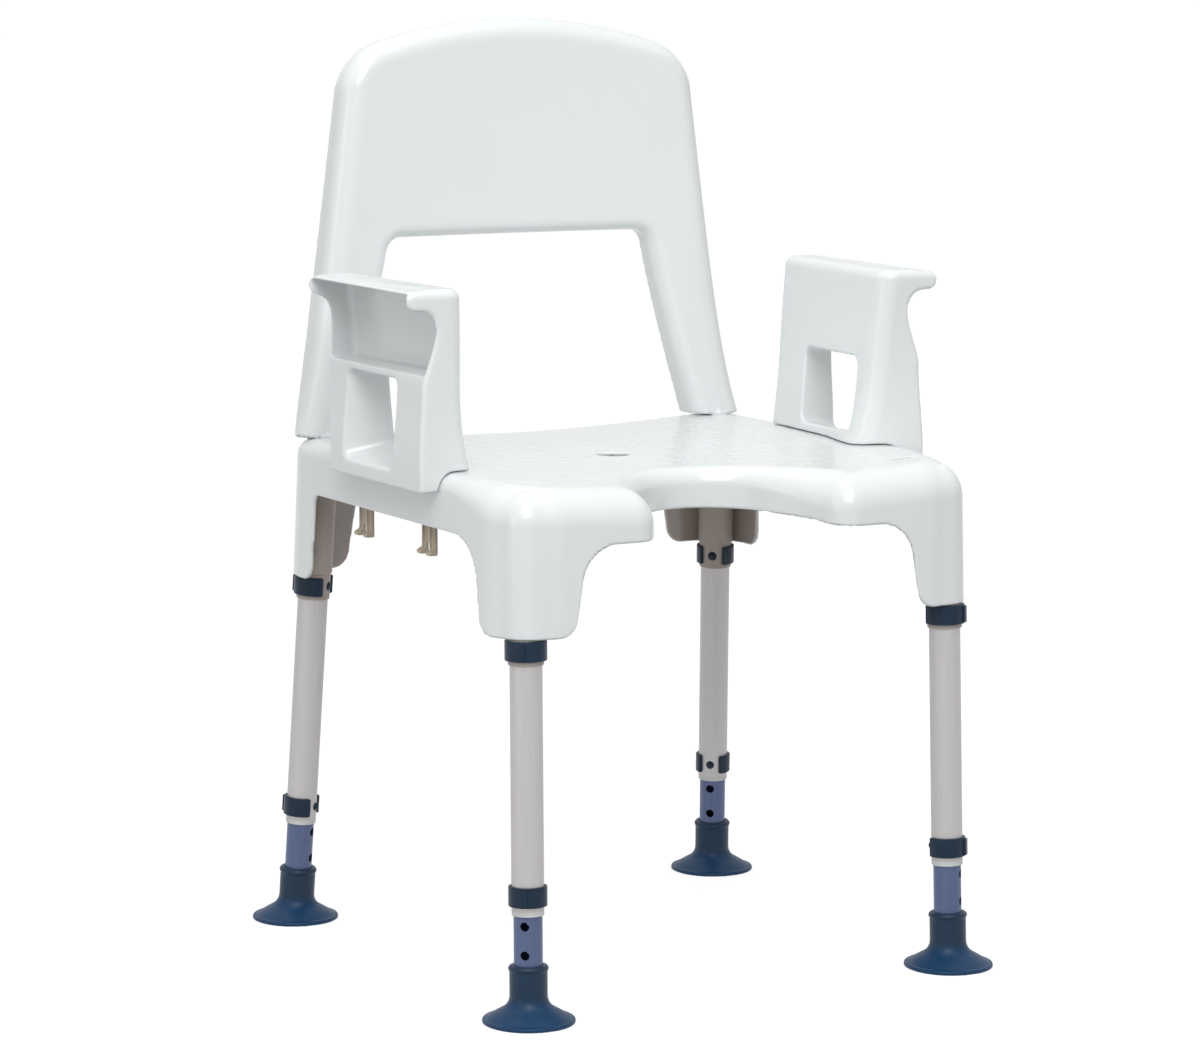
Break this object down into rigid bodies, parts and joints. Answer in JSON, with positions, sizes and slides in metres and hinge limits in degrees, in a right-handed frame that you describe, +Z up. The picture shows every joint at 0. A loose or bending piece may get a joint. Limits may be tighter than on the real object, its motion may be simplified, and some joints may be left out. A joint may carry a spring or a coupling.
{
  "type": "shower chair",
  "caption": "Height-adjustable shower chair: dished seat with hygiene notch, plug-in backrest and armrests, telescopic legs on suction feet.",
  "frame": {"origin": "on the floor, midway between the four feet", "axes": "+Z up; the sitter faces -Y; +X is to the right seen from the front"},
  "size_m": [0.5406, 0.524, 0.8403],
  "materials": {
    "shell_white": "glossy moulded plastic",
    "latch_cream": "satin moulded plastic",
    "tube_aluminium": "satin anodised",
    "ring_white": "satin moulded plastic",
    "clip_navy": "satin moulded plastic",
    "extension_slate": "blue anodised",
    "washer_steel": "zinc plated",
    "foot_rubber": "satin rubber"
  },
  "bodies": {
    "seat": {"seat_shell": "shell_white"},
    "backrest": {"backrest": "shell_white"},
    "armrest_left": {"armrest_left": "shell_white", "latch_left_front": "latch_cream", "latch_left_rear": "latch_cream"},
    "armrest_right": {"armrest_right": "shell_white", "latch_right_front": "latch_cream", "latch_right_rear": "latch_cream"},
    "leg_front_left": {"leg_tube_front_left": "tube_aluminium", "end_ring_front_left": "ring_white"},
    "extension_front_left": {"extension_front_left": "extension_slate", "foot_washer_front_left": "washer_steel", "suction_foot_front_left": "foot_rubber"},
    "upper_clip_front_left": {"upper_clip_front_left": "clip_navy"},
    "lower_clip_front_left": {"lower_clip_front_left": "clip_navy"},
    "leg_front_right": {"leg_tube_front_right": "tube_aluminium", "end_ring_front_right": "ring_white"},
    "extension_front_right": {"extension_front_right": "extension_slate", "foot_washer_front_right": "washer_steel", "suction_foot_front_right": "foot_rubber"},
    "upper_clip_front_right": {"upper_clip_front_right": "clip_navy"},
    "lower_clip_front_right": {"lower_clip_front_right": "clip_navy"},
    "leg_rear_left": {"leg_tube_rear_left": "tube_aluminium", "end_ring_rear_left": "ring_white"},
    "extension_rear_left": {"extension_rear_left": "extension_slate", "foot_washer_rear_left": "washer_steel", "suction_foot_rear_left": "foot_rubber"},
    "upper_clip_rear_left": {"upper_clip_rear_left": "clip_navy"},
    "lower_clip_rear_left": {"lower_clip_rear_left": "clip_navy"},
    "leg_rear_right": {"leg_tube_rear_right": "tube_aluminium", "end_ring_rear_right": "ring_white"},
    "extension_rear_right": {"extension_rear_right": "extension_slate", "foot_washer_rear_right": "washer_steel", "suction_foot_rear_right": "foot_rubber"},
    "upper_clip_rear_right": {"upper_clip_rear_right": "clip_navy"},
    "lower_clip_rear_right": {"lower_clip_rear_right": "clip_navy"}
  },
  "joints": [
    {"name": "backrest_lift", "type": "slide", "parent": "seat", "child": "backrest", "axis": [0, 0, 1], "range_m": [0, 0.06]},
    {"name": "armrest_left_lift", "type": "slide", "parent": "seat", "child": "armrest_left", "axis": [0, 0, 1], "range_m": [0, 0.1], "deforming": ["latch_left_front", "latch_left_rear"]},
    {"name": "armrest_right_lift", "type": "slide", "parent": "seat", "child": "armrest_right", "axis": [0, 0, 1], "range_m": [0, 0.1], "deforming": ["latch_right_front", "latch_right_rear"]},
    {"name": "leg_front_left_draw", "type": "slide", "parent": "seat", "child": "leg_front_left", "axis": [-0.0076, -0.0371, -0.9993], "range_m": [0, 0.1]},
    {"name": "extension_front_left_height", "type": "slide", "parent": "leg_front_left", "child": "extension_front_left", "axis": [-0.0076, -0.0371, -0.9993], "range_m": [-0.025, 0.125]},
    {"name": "upper_clip_front_left_pull", "type": "slide", "parent": "seat", "child": "upper_clip_front_left", "axis": [-0.669, -0.7425, 0.0327], "range_m": [0, 0.045], "deforming": ["upper_clip_front_left"]},
    {"name": "lower_clip_front_left_pull", "type": "slide", "parent": "leg_front_left", "child": "lower_clip_front_left", "axis": [-0.669, -0.7425, 0.0327], "range_m": [0, 0.045], "deforming": ["lower_clip_front_left"]},
    {"name": "leg_front_right_draw", "type": "slide", "parent": "seat", "child": "leg_front_right", "axis": [0.0076, -0.0371, -0.9993], "range_m": [0, 0.1]},
    {"name": "extension_front_right_height", "type": "slide", "parent": "leg_front_right", "child": "extension_front_right", "axis": [0.0076, -0.0371, -0.9993], "range_m": [-0.025, 0.125]},
    {"name": "upper_clip_front_right_pull", "type": "slide", "parent": "seat", "child": "upper_clip_front_right", "axis": [0.669, -0.7425, 0.0327], "range_m": [0, 0.045], "deforming": ["upper_clip_front_right"]},
    {"name": "lower_clip_front_right_pull", "type": "slide", "parent": "leg_front_right", "child": "lower_clip_front_right", "axis": [0.669, -0.7425, 0.0327], "range_m": [0, 0.045], "deforming": ["lower_clip_front_right"]},
    {"name": "leg_rear_left_draw", "type": "slide", "parent": "seat", "child": "leg_rear_left", "axis": [-0.0338, 0.0632, -0.9974], "range_m": [0, 0.1]},
    {"name": "extension_rear_left_height", "type": "slide", "parent": "leg_rear_left", "child": "extension_rear_left", "axis": [-0.0338, 0.0632, -0.9974], "range_m": [-0.025, 0.125]},
    {"name": "upper_clip_rear_left_pull", "type": "slide", "parent": "seat", "child": "upper_clip_rear_left", "axis": [-0.668, 0.7409, 0.0695], "range_m": [0, 0.045], "deforming": ["upper_clip_rear_left"]},
    {"name": "lower_clip_rear_left_pull", "type": "slide", "parent": "leg_rear_left", "child": "lower_clip_rear_left", "axis": [-0.668, 0.7409, 0.0695], "range_m": [0, 0.045], "deforming": ["lower_clip_rear_left"]},
    {"name": "leg_rear_right_draw", "type": "slide", "parent": "seat", "child": "leg_rear_right", "axis": [0.0338, 0.0632, -0.9974], "range_m": [0, 0.1]},
    {"name": "extension_rear_right_height", "type": "slide", "parent": "leg_rear_right", "child": "extension_rear_right", "axis": [0.0338, 0.0632, -0.9974], "range_m": [-0.025, 0.125]},
    {"name": "upper_clip_rear_right_pull", "type": "slide", "parent": "seat", "child": "upper_clip_rear_right", "axis": [0.668, 0.7409, 0.0695], "range_m": [0, 0.045], "deforming": ["upper_clip_rear_right"]},
    {"name": "lower_clip_rear_right_pull", "type": "slide", "parent": "leg_rear_right", "child": "lower_clip_rear_right", "axis": [0.668, 0.7409, 0.0695], "range_m": [0, 0.045], "deforming": ["lower_clip_rear_right"]}
  ]
}
